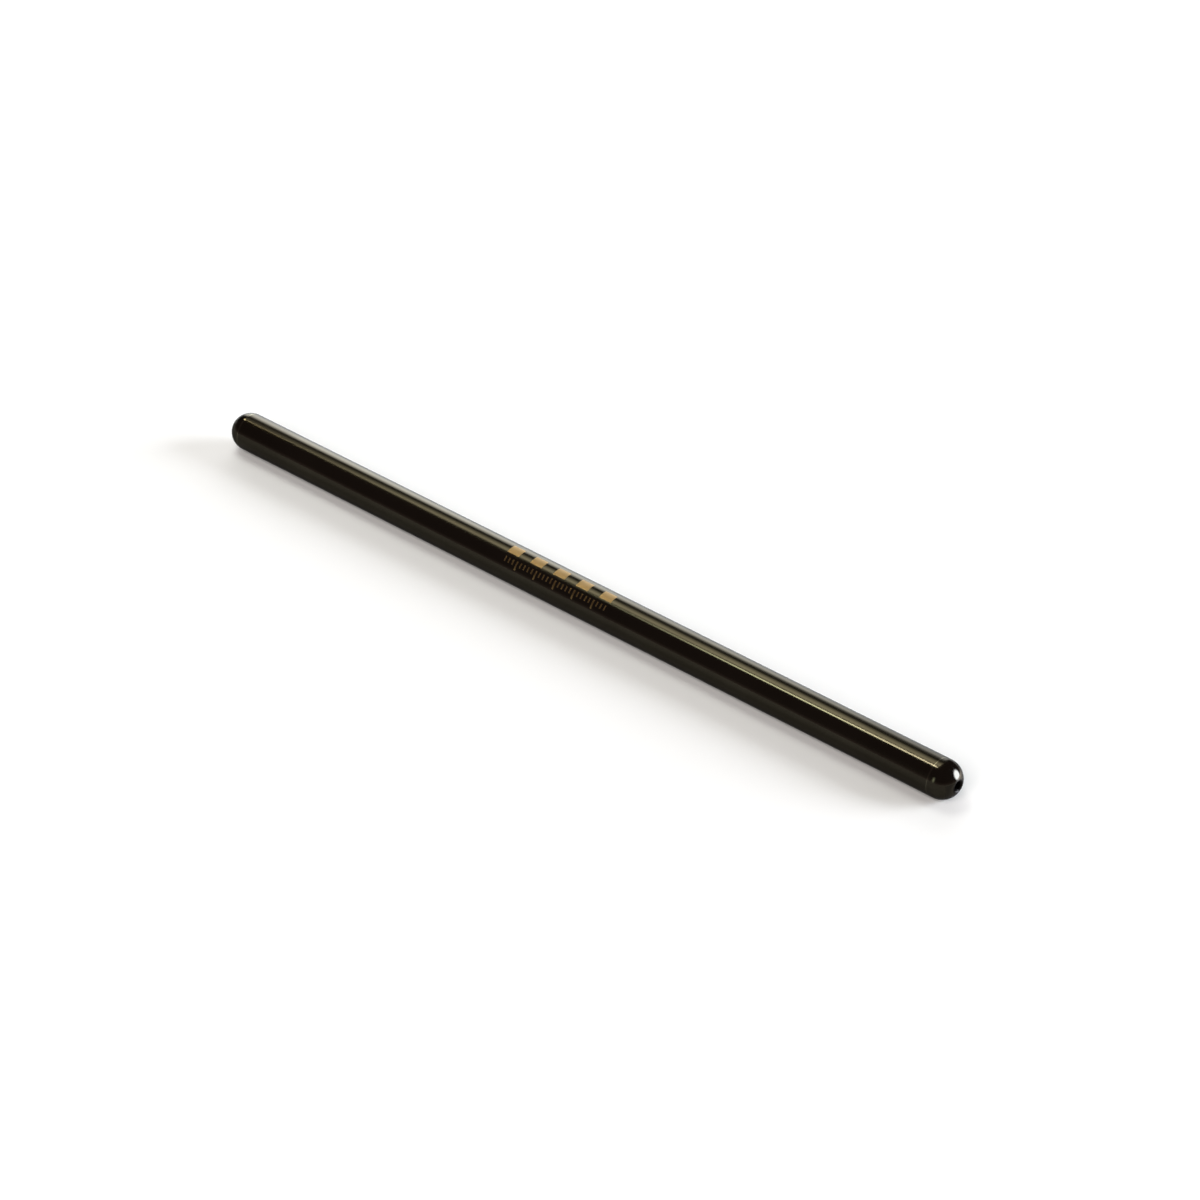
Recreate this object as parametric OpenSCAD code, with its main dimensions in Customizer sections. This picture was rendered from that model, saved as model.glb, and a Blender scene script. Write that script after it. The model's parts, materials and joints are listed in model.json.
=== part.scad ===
// One-piece engine pushrod: a steel tube whose two ends are closed in and
// ground to full balls, with an oil way that runs from tip to tip.
// The rod lies along X with its middle at the origin, and both ends are alike.

/* [Tube] */
// Length over the rims of the two oil holes, in mm
overall_length = 187.96; // [100:0.01:300]
// Outside diameter of the tube and of its balls, in mm
tube_diameter = 7.9375; // [6.35:0.0125:11.1125]
// Wall of the straight tube, in mm
tube_wall = 2.03; // [0.9:0.01:2.6]

/* [Ball ends] */
// Metal from the domed end of the bore to the top of the full ball, in mm
tip_wall = 3; // [2.1:0.05:6]
// Diameter of the oil hole drilled through each tip, in mm
oil_hole_diameter = 2; // [1:0.05:2.6]
// Width of the 45 degree chamfer at the mouth of each oil hole, in mm
mouth_chamfer = 0.27; // [0.05:0.01:0.6]

/* [Hidden] */
$fn = 128;

tube_r = tube_diameter / 2;
bore_r = tube_r - tube_wall;
oil_hole_r = oil_hole_diameter / 2;
mouth_r = oil_hole_r + mouth_chamfer;

// The rim of each mouth lies on its ball, and the two rims set the length
half_length = overall_length / 2;
ball_centre = half_length - sqrt(pow(tube_r, 2) - pow(mouth_r, 2));
dome_centre = ball_centre + tube_r - tip_wall - bore_r;

black_oxide = "#14120f";

// Half section of a round bar with full round ends: radius in X, length in Y.
// centre is the distance from the middle of the bar to the centre of each end.
module round_ended_section(radius, centre) {
    translate([0, -centre])
        square([radius, 2 * centre]);
    for (turned = [0, 1])
        mirror([0, turned, 0])
            translate([0, centre])
                intersection() {
                    circle(r = radius);
                    square(radius);
                }
}

// Half section of the drilled oil way and of the chamfer at each of its mouths.
module oil_way_section() {
    translate([0, -half_length])
        square([oil_hole_r, overall_length]);
    for (turned = [0, 1])
        mirror([0, turned, 0])
            translate([0, half_length])
                polygon([
                    [0, -mouth_chamfer],
                    [oil_hole_r, -mouth_chamfer],
                    [mouth_r, 0],
                    [mouth_r, tube_r],
                    [0, tube_r]
                ]);
}

// The bore ends in a dome inside each ball, so the wall thickens towards the tip
// as it does where a tube is closed in, and the oil hole is drilled through it.
module pushrod() {
    color(black_oxide)
        rotate([0, 90, 0])
            rotate_extrude()
                difference() {
                    round_ended_section(tube_r, ball_centre);
                    round_ended_section(bore_r, dome_centre);
                    oil_way_section();
                }
}

pushrod();
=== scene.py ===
# The look of a one-piece engine pushrod: ground steel under black oxide, on a white studio floor.
# Everything is in metres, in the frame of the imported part: the rod lies along X, its middle at the origin.
import json
from collections import namedtuple
from math import acos, atan2, cos, pi, radians, sin, sqrt

import bmesh
import bpy
from mathutils import Matrix, Vector


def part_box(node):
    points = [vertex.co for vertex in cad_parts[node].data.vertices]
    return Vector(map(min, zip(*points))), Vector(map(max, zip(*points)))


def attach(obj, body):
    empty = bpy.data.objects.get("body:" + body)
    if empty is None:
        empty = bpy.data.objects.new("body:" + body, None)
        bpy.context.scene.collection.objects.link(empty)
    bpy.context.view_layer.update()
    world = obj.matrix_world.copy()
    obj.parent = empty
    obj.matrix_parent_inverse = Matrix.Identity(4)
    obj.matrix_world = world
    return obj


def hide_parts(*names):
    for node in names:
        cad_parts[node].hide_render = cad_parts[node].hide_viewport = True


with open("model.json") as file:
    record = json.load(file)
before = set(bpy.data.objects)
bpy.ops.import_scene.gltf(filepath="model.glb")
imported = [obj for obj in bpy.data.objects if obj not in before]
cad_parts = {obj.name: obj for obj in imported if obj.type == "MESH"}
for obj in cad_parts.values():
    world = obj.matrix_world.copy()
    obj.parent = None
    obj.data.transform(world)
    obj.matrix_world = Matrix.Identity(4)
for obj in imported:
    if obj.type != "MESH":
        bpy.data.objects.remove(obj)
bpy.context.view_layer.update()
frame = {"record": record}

MM = 0.001

# Sizes that the imported record doesn't give: the hidden wall, the rounding of the edges of the oil holes,
# and how far the dull finish and the painted shade of an oil hole spread round its mouth
TUBE_WALL = 2.03 * MM
EDGE_BREAK = 0.05 * MM
DULL_AND_SHADED_RIM = 0.25 * MM

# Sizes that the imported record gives, or that follow from them
mounts = {mount["name"]: mount for mount in frame["record"]["mounts"]}
tube_radius = mounts["shaft"]["dims"]["r_mm"] * MM
ball_centre = mounts["rocker_ball"]["pos_m"][0]
oil_hole = mounts["rocker_oil_hole"]
oil_hole_radius = oil_hole["dims"]["r_mm"] * MM
oil_hole_inner_end = oil_hole["pos_m"][0] - oil_hole["dims"]["length_mm"] * MM / 2
half_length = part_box("pushrod")[1].x
mouth_radius = sqrt(tube_radius ** 2 - (half_length - ball_centre) ** 2)
mouth_chamfer = mouth_radius - oil_hole_radius
dull_and_shaded_radius = mouth_radius + DULL_AND_SHADED_RIM
bore_radius = tube_radius - TUBE_WALL
dome_centre = oil_hole_inner_end - sqrt(bore_radius ** 2 - oil_hole_radius ** 2)

# How finely the rod is turned
SIDES = 160
BALL_STEPS = 28
DOME_STEPS = 10
EDGE_BREAK_STEPS = 3
TUBE_STATIONS = 9
JOINT_SUPPORT = 0.2 * MM
MERGE_DISTANCE = 0.001 * MM

# Where the camera stands, from the rod's outline in the photograph.
# The azimuth and the elevation are those of the camera seen from the rod, with azimuth 0 at -Y.
CAMERA_AZIMUTH = radians(41.35)
CAMERA_ELEVATION = radians(34.64)
CAMERA_LENS_MM = 135.36
CAMERA_SENSOR_MM = 36
CAMERA_CLIP_START = 10 * MM
ROD_MIDDLE_SEEN_FROM_CAMERA = Vector((-4.417, 0.871, -883.5)) * MM

# Colours, as sRGB hex
THIN_OXIDE = "#2d2a23"
THICK_OXIDE = "#24211b"
# Lighter oxide for a thin ring at each joint of tube and ball, a painted glint
JOINT_GLINT_OXIDE = "#464339"
# Near black for the oil holes' mouths, a painted shade
PAINTED_MOUTH_SHADE = "#191714"
ETCHED_BRONZE = "#5f4e34"
FLOOR_WHITE = "#f0f0f0"
BACKGROUND_WHITE = "#ffffff"


def linear(hex_colour):
    """Turns an sRGB hex colour into linear red, green, blue and alpha."""
    channels = [int(hex_colour[place:place + 2], 16) / 255 for place in (1, 3, 5)]
    return [c / 12.92 if c <= 0.04045 else ((c + 0.055) / 1.055) ** 2.4 for c in channels] + [1]


def add_node(tree, kind, settings, inputs):
    """Adds a node and gives its outputs. An input is a value to set, or another node's output to link."""
    node = tree.nodes.new("ShaderNode" + kind)
    for name, value in settings.items():
        setattr(node, name, value)
    for name, value in inputs.items():
        if isinstance(value, bpy.types.NodeSocket):
            tree.links.new(value, node.inputs[name])
        else:
            node.inputs[name].default_value = value
    return node.outputs


def calculate(tree, operation, *values, clamp=False):
    """Adds a Math node on the values, and gives its result."""
    settings = {"operation": operation, "use_clamp": clamp}
    return add_node(tree, "Math", settings, dict(enumerate(values)))[0]


def mix_colours(tree, share, first, second):
    """Gives the first colour where the share is 0, and the second where it is 1."""
    return add_node(tree, "Mix", {"data_type": "RGBA"}, {"Factor": share, 6: first, 7: second})[2]


def mix_values(tree, share, first, second):
    """Gives the first value where the share is 0, and the second where it is 1."""
    return add_node(tree, "Mix", {}, {"Factor": share, 2: first, 3: second})[0]


def place_mesh(name, mesh, material):
    """Makes an object of a bmesh, at the origin."""
    data = bpy.data.meshes.new(name)
    mesh.to_mesh(data)
    mesh.free()
    data.materials.append(material)
    made = bpy.data.objects.new(name, data)
    bpy.context.scene.collection.objects.link(made)
    return made


# The rod

def draw_half_section(mesh):
    """Draws the section of the +X half in the XZ plane, as a chain of edges from the outside to the bore."""
    def corner(x, radius):
        return mesh.verts.new((x, 0, radius))

    def arc(start, centre, angle, steps):
        swept = bmesh.ops.spin(
            mesh, geom=[start], cent=(centre, 0, 0), axis=(0, 1, 0), angle=angle, steps=steps)
        return [made for made in swept["geom_last"] if isinstance(made, bmesh.types.BMVert)][0]

    station_spacing = (ball_centre - JOINT_SUPPORT) / TUBE_STATIONS
    tube_line = [corner(station_spacing * step, tube_radius) for step in range(TUBE_STATIONS + 1)]
    tube_end = corner(ball_centre, tube_radius)
    mouth_rim = arc(tube_end, ball_centre, acos(mouth_radius / tube_radius), BALL_STEPS)
    mouth_foot = corner(half_length - mouth_chamfer, oil_hole_radius)
    hole_end = corner(oil_hole_inner_end, oil_hole_radius)
    bore_end = arc(hole_end, dome_centre, -acos(oil_hole_radius / bore_radius), DOME_STEPS)
    bore_middle = corner(0, bore_radius)

    straight_lines = list(zip(tube_line, tube_line[1:] + [tube_end]))
    straight_lines += [(mouth_rim, mouth_foot), (mouth_foot, hole_end), (bore_end, bore_middle)]
    for ends in straight_lines:
        mesh.edges.new(ends)
    bmesh.ops.bevel(
        mesh, geom=[mouth_rim, mouth_foot, hole_end], offset=EDGE_BREAK, offset_type="OFFSET",
        affect="VERTICES", segments=EDGE_BREAK_STEPS, profile=0.5, material=-1)


def lay_map_along_rod(mesh):
    """Gives the rod a map with u along its length and v round it, for the grain of the grinding."""
    layer = mesh.loops.layers.uv.new("along_rod")
    for face in mesh.faces:
        middle = face.calc_center_median()
        middle_angle = atan2(middle.y, middle.z)
        for loop in face.loops:
            turn = atan2(loop.vert.co.y, loop.vert.co.z) - middle_angle
            turn = (turn + pi) % (2 * pi) - pi
            loop[layer].uv = (loop.vert.co.x, (middle_angle + turn) * tube_radius)


def turn_pushrod(material):
    """Turns the half section round the rod's axis, mirrors it to the other end and closes the seam."""
    mesh = bmesh.new()
    draw_half_section(mesh)
    bmesh.ops.spin(
        mesh, geom=mesh.verts[:] + mesh.edges[:], cent=(0, 0, 0), axis=(1, 0, 0),
        angle=2 * pi, steps=SIDES, use_merge=True)
    bmesh.ops.mirror(
        mesh, geom=mesh.verts[:] + mesh.edges[:] + mesh.faces[:], axis="X",
        merge_dist=MERGE_DISTANCE)
    bmesh.ops.remove_doubles(mesh, verts=mesh.verts[:], dist=MERGE_DISTANCE)
    bmesh.ops.recalc_face_normals(mesh, faces=mesh.faces[:])
    for face in mesh.faces:
        face.smooth = True
    lay_map_along_rod(mesh)
    return place_mesh("turned_pushrod", mesh, material)


# The finish of the rod

# Roughness of the ground skin, where the oxide is thin and where it is thick, and of the oil holes
SKIN_ROUGHNESS = (0.11, 0.16)
DRILLED_ROUGHNESS = 0.45

# How much the grinding marks draw a reflection out one way
GRINDING_GRAIN = 0.4

# The oxide's gloss stays even almost to the outline, where a bare metal's would rise.
# Where the skin is turned away by f, an edge tint of 1 - 0.117 / (f * (1 - f)) takes all the rise away.
EVEN_GLOSS = 0.108

# Grinding marks are some 0.03 mm apart on the real rod, and are drawn coarser here so that they show
GRINDING_SPACING = 0.5 * MM
GRINDING_DEPTH = 0.0008 * MM
GRINDING_STRENGTH = 0.3
GRINDING_DETAIL = 3
CHANGES_ROUND_ROD = 60

# How much of the oxide's thickness follows the grinding marks, and how much lies in patches
RING_SHARE = 0.5
PATCH_SHARE = 0.7
PATCH_SIZE = 9 * MM
PATCH_DETAIL = 2
THIN_SHARE = 0.3

# The oxide is drawn darker towards both ends, from this far along to the start of the ball
DARK_END_FROM = 68 * MM
DARK_END_SHARE = 0.3

# A thin ring near each joint of tube and ball, drawn in a lighter, more reflective oxide: a painted glint
JOINT_GLINT_RINGS = (89.45 * MM, -90.3 * MM)
JOINT_GLINT_WIDTH = 0.15 * MM

# A graduated band etched through the oxide, along the upper camera side: bold blocks over a scale of ticks.
# Heights and middles are measured on the skin, round the rod from the horizontal towards the top.
BAND_MIDDLE = -3.5 * MM
BAND_LENGTH = 27 * MM
BAND_ROUGHNESS = 0.45
BAND_ROWS = (
    {"pitch": 6 * MM, "width": 3 * MM, "height": 2.2 * MM, "middle": 5.7 * MM},
    {"pitch": 5 * MM, "width": 0.4 * MM, "height": 1.9 * MM, "middle": 2.75 * MM},
    {"pitch": 1 * MM, "width": 0.35 * MM, "height": 1.1 * MM, "middle": 3.15 * MM},
)


def etched_band_mask(tree, x, angle):
    """Builds the mask of the etched band: 1 on the bronze-coloured blocks and ticks, 0 elsewhere."""
    skin_height = calculate(tree, "MULTIPLY", angle, tube_radius)
    from_middle = calculate(tree, "SUBTRACT", x, BAND_MIDDLE)
    mask = 0
    for row in BAND_ROWS:
        from_mark = calculate(tree, "PINGPONG", from_middle, row["pitch"] / 2)
        on_mark = calculate(tree, "LESS_THAN", from_mark, row["width"] / 2)
        in_row = calculate(tree, "COMPARE", skin_height, row["middle"], row["height"] / 2)
        marked = calculate(tree, "MULTIPLY", on_mark, in_row)
        mask = calculate(tree, "MAXIMUM", mask, marked)
    in_length = calculate(tree, "COMPARE", from_middle, 0, BAND_LENGTH / 2)
    return calculate(tree, "MULTIPLY", mask, in_length)


def even_edge_tint(tree):
    """Builds the edge tint that keeps the gloss even, from how far the skin is turned away."""
    turned_away = add_node(tree, "LayerWeight", {}, {"Blend": 0.5})["Facing"]
    turned_towards = calculate(tree, "SUBTRACT", 1, turned_away)
    slant = calculate(tree, "MULTIPLY", turned_away, turned_towards)
    rise = calculate(tree, "DIVIDE", EVEN_GLOSS, slant)
    return calculate(tree, "SUBTRACT", 1, rise, clamp=True)


def black_oxide_on_ground_steel():
    """Oiled black oxide on ground steel: a dark, warm mirror whose grinding marks draw each light out
    along the tube, a little duller where the oxide is thick and in the oil holes, whose mouths also hold a
    painted shade."""
    material = bpy.data.materials.new("black_oxide_on_ground_steel")
    material.use_nodes = True
    tree = material.node_tree
    shader = tree.nodes["Principled BSDF"]
    place = add_node(tree, "TexCoord", {}, {})["Object"]
    x, y, z = add_node(tree, "SeparateXYZ", {}, {0: place})

    # Where the band and the oil holes are; the oil holes carry a dull finish and a painted shade
    towards_camera_side = calculate(tree, "MULTIPLY", y, -1)
    angle = calculate(tree, "ARCTAN2", z, towards_camera_side)
    band = etched_band_mask(tree, x, angle)
    across = add_node(tree, "CombineXYZ", {}, {"Y": y, "Z": z})[0]
    from_axis = add_node(tree, "VectorMath", {"operation": "LENGTH"}, {0: across})["Value"]
    drilled_and_shaded = calculate(tree, "LESS_THAN", from_axis, dull_and_shaded_radius)

    # Rings round the rod: noise that changes fast along X and slowly round it
    ring_scale = (1 / GRINDING_SPACING, CHANGES_ROUND_ROD, CHANGES_ROUND_ROD)
    ring_place = add_node(tree, "Mapping", {}, {0: place, "Scale": ring_scale})[0]
    rings = add_node(
        tree, "TexNoise", {}, {"Vector": ring_place, "Scale": 1, "Detail": GRINDING_DETAIL})[0]
    patches = add_node(
        tree, "TexNoise", {}, {"Vector": place, "Scale": 1 / PATCH_SIZE, "Detail": PATCH_DETAIL})[0]

    # The oxide is thin at 0 and thick at 1
    from_middle = calculate(tree, "ABSOLUTE", x)
    thickness = add_node(
        tree, "MapRange", {"interpolation_type": "SMOOTHSTEP"}, {
            "Value": from_middle,
            "From Min": DARK_END_FROM,
            "From Max": ball_centre,
            "To Max": DARK_END_SHARE})[0]
    for noise, share in ((rings, RING_SHARE), (patches, PATCH_SHARE)):
        thickness = calculate(tree, "MULTIPLY_ADD", noise, share, thickness)
    thickness = calculate(tree, "SUBTRACT", thickness, THIN_SHARE, clamp=True)

    colour = mix_colours(tree, thickness, linear(THIN_OXIDE), linear(THICK_OXIDE))
    # Painted glint: a thin, lighter ring of oxide near each joint of tube and ball
    for ring in JOINT_GLINT_RINGS:
        joint_glint = calculate(tree, "COMPARE", x, ring, JOINT_GLINT_WIDTH / 2)
        colour = mix_colours(tree, joint_glint, colour, linear(JOINT_GLINT_OXIDE))
    colour = mix_colours(tree, band, colour, linear(ETCHED_BRONZE))
    # Painted shade: the oil holes' mouths are drawn near black
    colour = mix_colours(tree, drilled_and_shaded, colour, linear(PAINTED_MOUTH_SHADE))

    roughness = add_node(
        tree, "MapRange", {},
        {"Value": thickness, "To Min": SKIN_ROUGHNESS[0], "To Max": SKIN_ROUGHNESS[1]})[0]
    roughness = mix_values(tree, drilled_and_shaded, roughness, DRILLED_ROUGHNESS)
    roughness = mix_values(tree, band, roughness, BAND_ROUGHNESS)
    bump = add_node(
        tree, "Bump", {},
        {"Strength": GRINDING_STRENGTH, "Distance": GRINDING_DEPTH, "Height": rings})[0]
    tangent = add_node(tree, "Tangent", {"direction_type": "UV_MAP", "uv_map": "along_rod"}, {})[0]

    tree.links.new(colour, shader.inputs["Base Color"])
    tree.links.new(roughness, shader.inputs["Roughness"])
    tree.links.new(bump, shader.inputs["Normal"])
    tree.links.new(tangent, shader.inputs["Tangent"])
    tree.links.new(even_edge_tint(tree), shader.inputs["Specular Tint"])
    shader.inputs["Metallic"].default_value = 1
    shader.inputs["Anisotropic"].default_value = GRINDING_GRAIN
    return material


pushrod = turn_pushrod(black_oxide_on_ground_steel())
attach(pushrod, "root")
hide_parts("pushrod")


# The camera

def place_camera():
    """Sets the camera where it stood, level, with the rod's middle at its place in the frame."""
    right = Vector((cos(CAMERA_AZIMUTH), sin(CAMERA_AZIMUTH), 0))
    back = Vector((
        sin(CAMERA_AZIMUTH) * cos(CAMERA_ELEVATION),
        -cos(CAMERA_AZIMUTH) * cos(CAMERA_ELEVATION),
        sin(CAMERA_ELEVATION)))
    turn = Matrix((right, back.cross(right), back)).transposed()
    data = bpy.data.cameras.new("camera")
    data.lens = CAMERA_LENS_MM
    data.sensor_width = CAMERA_SENSOR_MM
    data.clip_start = CAMERA_CLIP_START
    camera = bpy.data.objects.new("camera", data)
    camera.matrix_world = Matrix.Translation(turn @ -ROD_MIDDLE_SEEN_FROM_CAMERA) @ turn.to_4x4()
    bpy.context.scene.collection.objects.link(camera)
    bpy.context.scene.camera = camera


place_camera()


# The studio

# The floor, and how far from the rod's middle it starts and ends turning into the white background
FLOOR_RADIUS = 5
FLOOR_SIDES = 96
WHITE_FROM = 0.3
WHITE_TO = 0.45

# The world's light on the floor, and the dark room round the studio
AMBIENT = 0.0615
ROOM_RADIUS = 8
ROOM_SIDES = 32
ROOM_RADIANCE = 0.65
ROOM_TINT = "#ffe2e4"

# Heights of the overhead cards, and of those just above the floor
TOP_HEIGHT = 0.6
GLEAM_HEIGHT = 0.5 * MM - tube_radius

# A fade of a card's light: it grows from its least share to the full one along one way of the card
Fade = namedtuple("Fade", "way out_at full_at least", defaults=[0])


def add_background_rays(tree):
    """Gives 1 for rays that see the background: from the camera, off metal and through glass."""
    rays = add_node(tree, "LightPath", {}, {})
    seen = calculate(tree, "MAXIMUM", rays["Is Camera Ray"], rays["Is Glossy Ray"])
    return calculate(tree, "MAXIMUM", seen, rays["Is Transmission Ray"])


def white_paper():
    """Matt white paper: it takes the rod's shadow, and far from the rod it is the plain white background."""
    material = bpy.data.materials.new("white_paper")
    material.use_nodes = True
    tree = material.node_tree
    tree.nodes.remove(tree.nodes["Principled BSDF"])
    place = add_node(tree, "TexCoord", {}, {})["Object"]
    flat_place = add_node(
        tree, "VectorMath", {"operation": "MULTIPLY"}, {0: place, 1: (1, 1, 0)})[0]
    distance = add_node(tree, "VectorMath", {"operation": "LENGTH"}, {0: flat_place})["Value"]
    far = add_node(
        tree, "MapRange", {"interpolation_type": "SMOOTHSTEP"},
        {"Value": distance, "From Min": WHITE_FROM, "From Max": WHITE_TO})[0]
    far_and_seen = calculate(tree, "MULTIPLY", far, add_background_rays(tree))
    paper = add_node(tree, "BsdfDiffuse", {}, {"Color": linear(FLOOR_WHITE)})[0]
    background = add_node(
        tree, "Emission", {}, {"Color": linear(BACKGROUND_WHITE), "Strength": 1})[0]
    surface = add_node(tree, "MixShader", {}, {0: far_and_seen, 1: paper, 2: background})[0]
    tree.links.new(surface, tree.nodes["Material Output"].inputs["Surface"])
    return material


def lay_floor():
    """Lays the white floor under the rod."""
    mesh = bmesh.new()
    bmesh.ops.create_circle(
        mesh, cap_ends=True, segments=FLOOR_SIDES, radius=FLOOR_RADIUS,
        matrix=Matrix.Translation((0, 0, -tube_radius)))
    place_mesh("floor", mesh, white_paper())


def light_world():
    """Makes the world white where it is seen, and dimmer where it lights."""
    world = bpy.data.worlds.new("world")
    bpy.context.scene.world = world
    world.use_nodes = True
    tree = world.node_tree
    seen = add_background_rays(tree)
    strength = add_node(
        tree, "MapRange", {}, {"Value": seen, "To Min": AMBIENT, "To Max": 1})[0]
    background = tree.nodes["Background"]
    background.inputs["Color"].default_value = linear(BACKGROUND_WHITE)
    tree.links.new(strength, background.inputs["Strength"])


def show_in_reflections_only(made):
    """Hides a card from everything but the rod's own gloss, as a photographer keeps it out of the frame."""
    made.visible_camera = False
    made.visible_diffuse = False
    made.visible_transmission = False
    made.visible_shadow = False


def glow(name, radiance, tint, fades):
    """The light of a card, whose UV map runs along and across it."""
    material = bpy.data.materials.new(name)
    material.use_nodes = True
    tree = material.node_tree
    tree.nodes.remove(tree.nodes["Principled BSDF"])
    spot = add_node(tree, "TexCoord", {}, {})["UV"]
    along, across, _ = add_node(tree, "SeparateXYZ", {}, {0: spot})
    from_centre = add_node(
        tree, "VectorMath", {"operation": "DISTANCE"}, {0: spot, 1: (0.5, 0.5, 0)})["Value"]
    ways = {"along": along, "across": across, "from_centre": from_centre}
    level = radiance
    for fade in fades:
        share = add_node(tree, "MapRange", {}, {
            "Value": ways[fade.way],
            "From Min": fade.out_at,
            "From Max": fade.full_at,
            "To Min": fade.least})[0]
        level = calculate(tree, "MULTIPLY", share, level)
    light = add_node(tree, "Emission", {}, {"Color": linear(tint), "Strength": level})[0]
    tree.links.new(light, tree.nodes["Material Output"].inputs["Surface"])
    return material


def facing(station, bearing, elevation, distance):
    """Gives the place of a card or lamp that faces a station of the rod from a distance, its X level.
    The bearing is clockwise from where the camera looks, and both angles are in degrees."""
    turn = radians(bearing) - CAMERA_AZIMUTH
    level_way = Vector((sin(turn), cos(turn), 0))
    upright = Vector((0, 0, 1))
    away = level_way * cos(radians(elevation)) + upright * sin(radians(elevation))
    along = upright.cross(away).normalized()
    turned = Matrix((along, away.cross(along), away)).transposed()
    return Matrix.Translation(station + distance * away) @ turned.to_4x4()


def level_at(place, height, turn=0):
    """Gives the place of a level card or lamp over a point of the floor, turned by some degrees."""
    return Matrix.Translation((*place, height)) @ Matrix.Rotation(radians(turn), 4, "Z")


def hang_card(name, stand, size, radiance, tint, fades):
    """Hangs a card of light that only the rod's gloss sees."""
    mesh = bmesh.new()
    mesh.loops.layers.uv.new("card")
    bmesh.ops.create_grid(mesh, x_segments=1, y_segments=1, size=0.5, calc_uvs=True)
    card = place_mesh(name, mesh, glow(name, radiance, tint, fades))
    card.matrix_world = stand @ Matrix.Diagonal((*size, 1, 1))
    show_in_reflections_only(card)


def hang_lamp(name, stand, size, radiance, tint):
    """Hangs a soft oval lamp that lights the floor, and whose reflection a card gives instead."""
    data = bpy.data.lights.new(name, "AREA")
    data.shape = "ELLIPSE"
    data.size, data.size_y = size
    data.color = linear(tint)[:3]
    area = pi / 4 * size[0] * size[1]
    data.energy = pi * area * radiance
    lamp = bpy.data.objects.new(name, data)
    lamp.matrix_world = stand
    lamp.visible_glossy = False
    bpy.context.scene.collection.objects.link(lamp)


def hang_dark_room():
    """Hangs the room round the studio, which the rod shows dim, and a little lighter low down."""
    mesh = bmesh.new()
    mesh.loops.layers.uv.new("room")
    bmesh.ops.create_uvsphere(
        mesh, u_segments=ROOM_SIDES, v_segments=ROOM_SIDES, radius=ROOM_RADIUS, calc_uvs=True)
    low_light = Fade("across", out_at=0.572, full_at=0.5, least=0.415)
    material = glow("dark_room", ROOM_RADIANCE, ROOM_TINT, [low_light])
    show_in_reflections_only(place_mesh("dark_room", mesh, material))


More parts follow.
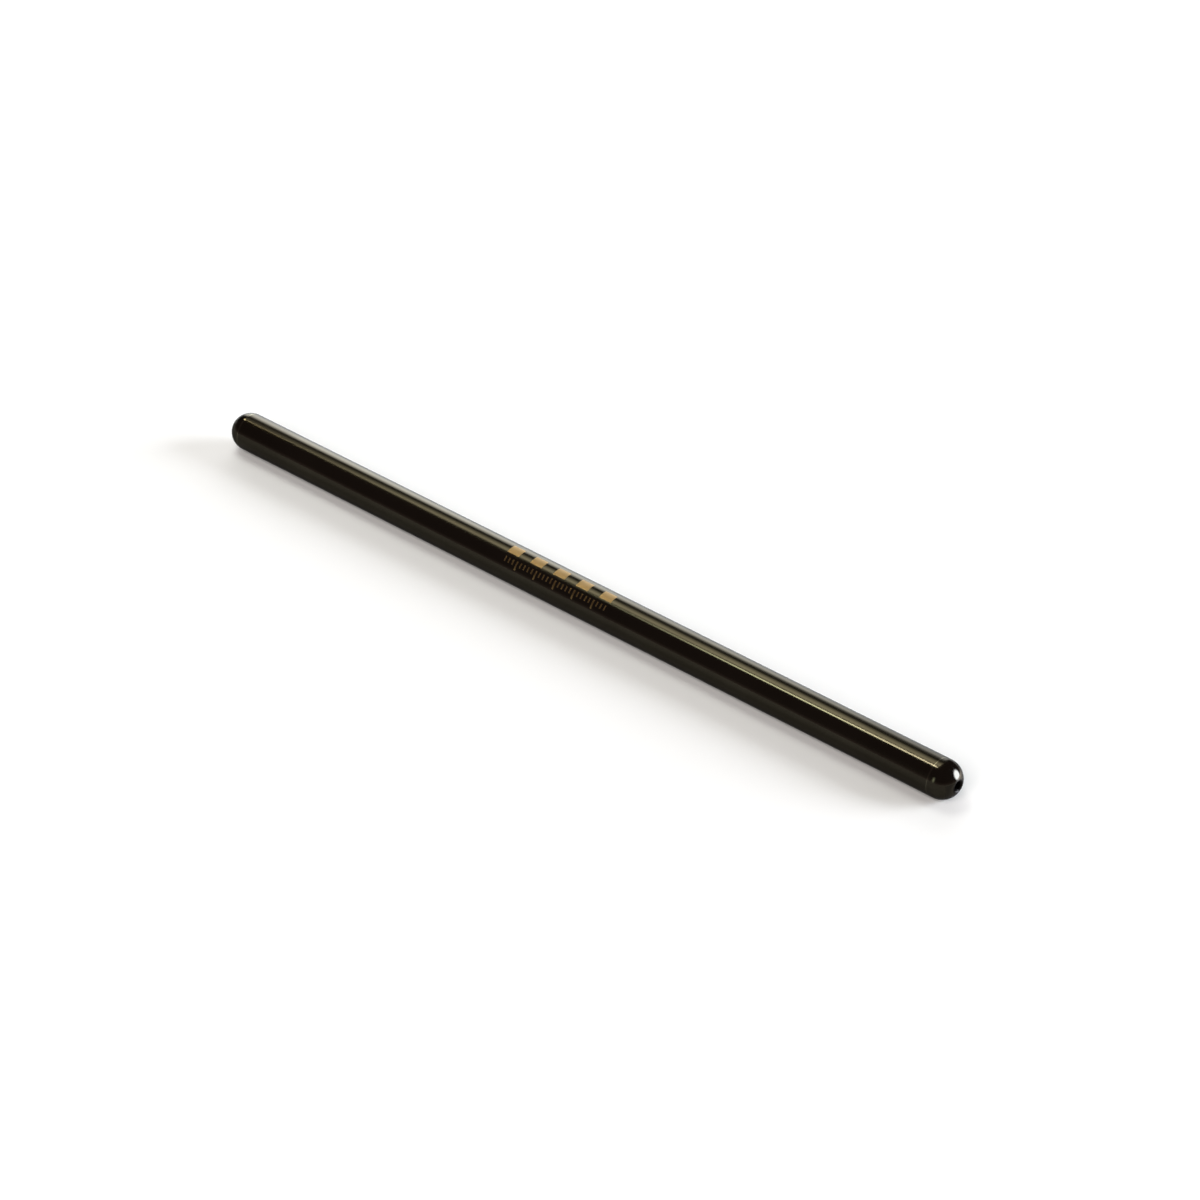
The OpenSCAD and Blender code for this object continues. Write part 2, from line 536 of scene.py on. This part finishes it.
def light_studio():
    """Hangs the lights. Each has a lamp for the floor, or a card for the rod's reflections, or both."""
    middle = Vector((0, 0, 0))
    near_ball = Vector((ball_centre, 0, 0))

    # Round key light at the right, which the near ball shows whole, and its gleam on the floor
    hang_card(
        "key_umbrella", facing(near_ball, bearing=85.6, elevation=14.4, distance=2),
        size=(1.66, 1.66), radiance=66, tint="#d3e1ff",
        fades=[Fade("from_centre", out_at=0.5, full_at=0.335)])
    hang_card(
        "key_gleam", level_at((0.162, 0.096), GLEAM_HEIGHT, turn=-37),
        size=(0.085, 0.24), radiance=15, tint="#f8f8ff",
        fades=[Fade("from_centre", out_at=0.5, full_at=0.25, least=0.057)])
    hang_lamp(
        "key_lamp", facing(near_ball, bearing=90, elevation=14.8, distance=2),
        size=(1.28, 1.28), radiance=16.8, tint="#f4f9ff")

    # Round light behind the rod, which its back edge shows, and its gleam on the floor
    hang_card(
        "back_umbrella", facing(middle, bearing=-11.2, elevation=6.6, distance=2.5),
        size=(2.86, 2.86), radiance=21.6, tint="#f4f9ff",
        fades=[
            Fade("from_centre", out_at=0.5, full_at=0.276, least=0.08),
            Fade("across", out_at=0.427, full_at=0.673, least=0.62),
            Fade("along", out_at=0.65, full_at=0.55, least=0.03)])
    hang_card(
        "back_gleam", level_at((-0.41, 0.406), GLEAM_HEIGHT),
        size=(0.98, 0.8), radiance=11.2, tint="#f4f9ff",
        fades=[
            Fade("across", out_at=0, full_at=0.085, least=0.35),
            Fade("along", out_at=1, full_at=0.66, least=0.7)])
    hang_lamp(
        "back_lamp", facing(middle, bearing=1.3, elevation=18.3, distance=2.5),
        size=(2.6, 2.6), radiance=2.6, tint="#ffffff")

    # Diffuser overhead, brightest over its near end
    hang_card(
        "top_diffuser", level_at((-0.365, 0.295), TOP_HEIGHT),
        size=(0.47, 0.65), radiance=8, tint="#fffce6",
        fades=[
            Fade("along", out_at=0.128, full_at=0.238, least=0.45),
            Fade("along", out_at=0.128, full_at=0.468, least=0.72),
            Fade("across", out_at=0, full_at=0.185),
            Fade("across", out_at=0.68, full_at=0.229, least=0.06)])
    hang_lamp(
        "top_lamp", level_at((-0.293, 0.055), TOP_HEIGHT),
        size=(0.405, 0.354), radiance=4.2, tint="#fdfff8")

    # Bare edge of the diffuser, which draws the thin line along the rod, and its two hot spots
    hang_card(
        "rim_line", level_at((-0.295, -0.056), TOP_HEIGHT),
        size=(0.15, 0.09), radiance=36, tint="#f4ffe4",
        fades=[
            Fade("across", out_at=0, full_at=0.3),
            Fade("across", out_at=1, full_at=0.7),
            Fade("along", out_at=0, full_at=0.49)])
    hang_card(
        "near_hot_spot", level_at((-0.234, -0.042), TOP_HEIGHT),
        size=(0.045, 0.12), radiance=88, tint="#fff8ea",
        fades=[Fade("from_centre", out_at=0.5, full_at=0.2)])
    hang_card(
        "far_hot_spot", level_at((-0.635, 0.068), TOP_HEIGHT),
        size=(0.09, 0.1), radiance=75, tint="#fff2c8",
        fades=[Fade("from_centre", out_at=0.5, full_at=0.2)])

    # Dim strip at the left, and a lamp at the camera that lifts the shadow
    hang_card(
        "side_strip", facing(near_ball, bearing=-124.5, elevation=14, distance=1.5),
        size=(0.42, 1), radiance=7.5, tint="#f1ffea",
        fades=[Fade("from_centre", out_at=0.5, full_at=0.1)])
    hang_lamp(
        "fill_lamp", facing(middle, bearing=203, elevation=37, distance=1.5),
        size=(1.26, 1.26), radiance=4.8, tint="#fff8f3")


lay_floor()
light_world()
hang_dark_room()
light_studio()
bpy.context.scene.view_settings.view_transform = "Standard"
